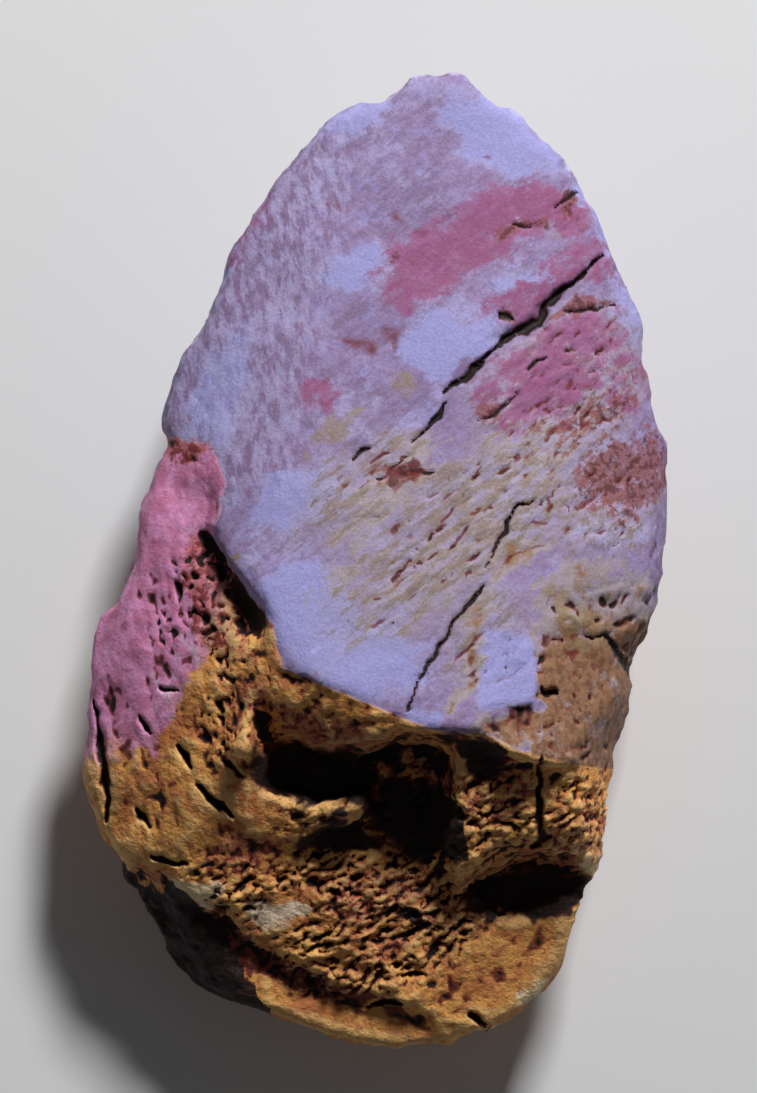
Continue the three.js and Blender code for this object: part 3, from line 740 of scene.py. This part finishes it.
PERIWINKLE = (0.315, 0.30, 0.60)
LILAC = (0.35, 0.295, 0.50)
FROST = (0.42, 0.385, 0.60)
MAUVE = (0.265, 0.18, 0.355)
DUSK = (0.19, 0.115, 0.21)
pale = stain("pale")
shaded = sums("SUBTRACT", 1.0, pale)
face = over((*PERIWINKLE, 1), LILAC, ragged(shaded, mottle, 3.2, 0.3), 0.9)
face = over(face, MAUVE, ragged(sums("SUBTRACT", shaded, 0.22), blotch, 4.4, 0.34), 0.8)
face = over(face, PERIWINKLE, ragged(0.2, mottle, 4.0, 0.3), 0.5)
face = over(face, DUSK, ragged(sums("MULTIPLY", shaded, 0.40), fleck, 3.6, 0.3), 0.4)
face = over(face, DUSK, ragged(sums("MULTIPLY", shaded, 0.36), streak, 4.4, 0.2), 0.5)
face = over(face, FROST, ragged(sums("MULTIPLY", upright, 0.42), streak_up, -3.4, 0.4), 0.5)
face = over(face, DUSK, ragged(sums("MULTIPLY", upright, 0.3), streak_up, 4.0, 0.36), 0.26)

STREAK_TAN = (0.25, 0.18, 0.155)
EARTH = (0.27, 0.125, 0.048)
OLIVE = (0.28, 0.20, 0.11)
WARM_GREY = (0.365, 0.30, 0.305)
UMBER = (0.12, 0.045, 0.022)
tan = stain("tan")
streaked = stain("streaked")
face = over(face, WARM_GREY, sums("MULTIPLY", streaked, 0.62))
face = over(face, WARM_GREY, ragged(tan, streak_right, 3.4, 0.2), 0.8)
face = over(face, STREAK_TAN, ragged(sums("MULTIPLY", streaked, 0.46), streak_right, 4.2, 0.16), 0.75)
face = over(face, LILAC, ragged(sums("MULTIPLY", streaked, 0.3), streak_right, -4.2, 0.16), 0.45)
face = over(face, EARTH, ragged(sums("SUBTRACT", tan, 0.52), mottle, 2.6, 0.24), 0.9)
face = over(face, UMBER, ragged(sums("SUBTRACT", tan, 0.85), fleck, 3.0, 0.2), 0.6)
face = over(face, OLIVE, ragged(stain("ochre"), mottle, 2.6, 0.24), 0.7)

ROSE = (0.30, 0.108, 0.235)
PLUM = (0.26, 0.068, 0.165)
BRICK = (0.245, 0.075, 0.085)
DRIED = (0.075, 0.014, 0.010)
pink = stain("pink")
face = over(face, ROSE, ragged(pink, mottle, 3.2, 0.26), 0.95)
face = over(face, PLUM, ragged(sums("MULTIPLY", pink, 0.66), streak, 3.6, 0.24), 0.6)
red = stain("red")
face = over(face, BRICK, ragged(red, streak, 3.0, 0.2), 0.8)
face = over(face, DRIED, ragged(sums("MULTIPLY", red, 0.5), fleck, 3.0, 0.14), 0.7)

HEATHER = (0.64, 0.25, 0.47)
FOXGLOVE = (0.50, 0.15, 0.27)
BARE_LILAC = (0.60, 0.43, 0.58)
rosy = stain("rosy")
face = over(face, BARE_LILAC, ragged(rosy, streak_up, 1.6, 0.2))
face = over(face, HEATHER, ragged(sums("SUBTRACT", rosy, 0.1), streak_up, 3.0, 0.24), 0.95)
face = over(face, FOXGLOVE, ragged(sums("MULTIPLY", rosy, 0.46), mottle, 3.6, 0.2), 0.7)

OCHRE_STONE = (0.74, 0.345, 0.09)
BUFF = (0.80, 0.53, 0.18)
RUST = (0.44, 0.115, 0.045)
MAROON_STAIN_AND_SHADE = (0.15, 0.016, 0.013)
RUDDY = (0.42, 0.105, 0.075)
CHALK_AND_HIGHLIGHT = (0.82, 0.68, 0.50)
inner = stain("inner")
inside = over((*OCHRE_STONE, 1), BUFF, between(fleck, 0.52, 0.66), 0.6)
inside = over(inside, RUST, ragged(0.42, blotch, 3.4, 0.3), 0.6)
inside = over(inside, RUST, ragged(0.38, fleck, 3.0, 0.2), 0.7)
# Pale patches, and a painted highlight at the lower right edge.
inside = over(inside, CHALK_AND_HIGHLIGHT, ragged(stain("pale_and_highlit"), mottle, 2.0, 0.24), 0.85)
face = over(face, inside, sums("MULTIPLY", inner, 0.5))
face = over(face, inside, ragged(inner, mottle, 1.4, 0.14))
# Maroon: partly a red-brown stain, mostly painted shade.
maroon_and_shade = stain("maroon_and_shade")
face = over(face, RUDDY, ragged(sums("MULTIPLY", maroon_and_shade, 1.2), mottle, 2.4, 0.24), 0.7)
face = over(face, MAROON_STAIN_AND_SHADE, ragged(sums("SUBTRACT", maroon_and_shade, 0.1), fleck, 3.0, 0.18), 0.85)

# Dark iron stain and painted shade in the pits and creases, painted black shadow in the hollows and on the
# steep scar, painted black shade in the cracks, and painted pale highlights on the ridges and along the
# edge.
SHADE_BLACK = (0.010, 0.004, 0.003)
HIGHLIGHT_LILAC = (0.50, 0.48, 0.72)
HIGHLIGHT_BUFF = (0.82, 0.60, 0.24)
sunk = stain("sunk")
painted_highlight = over((*HIGHLIGHT_LILAC, 1), HIGHLIGHT_BUFF, sums("MAXIMUM", inner, tan))
# Painted highlight on the raised parts of the flaked stone.
face = over(face, painted_highlight, sums("MULTIPLY", inner, between(sunk, 0.30, 0.06)), 0.4)
# Pits and creases: dark stain and painted shade, maroon and then black.
face = over(face, MAROON_STAIN_AND_SHADE, between(sunk, 0.58, 0.72), 0.85)
face = over(face, SHADE_BLACK, between(sunk, 0.72, 0.88))
# Painted shadow, maroon and then black, in the hollows and on the steep scar.
deep = stain("deep")
face = over(face, MAROON_STAIN_AND_SHADE, ragged(sums("MULTIPLY", deep, 1.7), mottle, 1.6, 0.3), 0.85)
face = over(face, SHADE_BLACK, ragged(sums("MULTIPLY", deep, 1.3), fleck, 1.2, 0.3), 0.97)
# Painted black shade inside the cracks, gouges and carved pits.
face = over(face, SHADE_BLACK, stain("cracked"), 0.97)
# Painted highlight along the cutting edge.
face = over(face, painted_highlight, ragged(sums("MULTIPLY", stain("rim"), 0.8), mottle, 3.0, 0.3), 0.6)
tone = between(grain, 0.3, 0.7, 0.9, 1.08)
shade = add("ShaderNodeMix", {0: 1.0, 6: face, 7: tone}, data_type="RGBA", blend_type="MULTIPLY").outputs[2]
links.new(shade, surface.inputs["Base Color"])

links.new(between(mottle, 0.3, 0.7, 0.62, 0.86), surface.inputs["Roughness"])
rough_inside = sums("MULTIPLY", fleck, between(inner, 0.0, 1.0, 0.5, 1.6))
ribbed = sums("MULTIPLY", streak_right, between(streaked, 0.0, 1.0, 0.1, 1.0))
coarse = add(
    "ShaderNodeBump",
    {"Height": sums("ADD", rough_inside, ribbed), "Strength": 0.5, "Distance": 0.7 * MM},
).outputs[0]
skin = add("ShaderNodeBump", {"Height": grain, "Strength": 0.4, "Distance": 0.2 * MM, "Normal": coarse})
links.new(skin.outputs[0], surface.inputs["Normal"])
surface.inputs["Specular IOR Level"].default_value = 0.35
stone.data.materials.clear()
stone.data.materials.append(finish)

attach(stone, "root")
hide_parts("hand_axe")
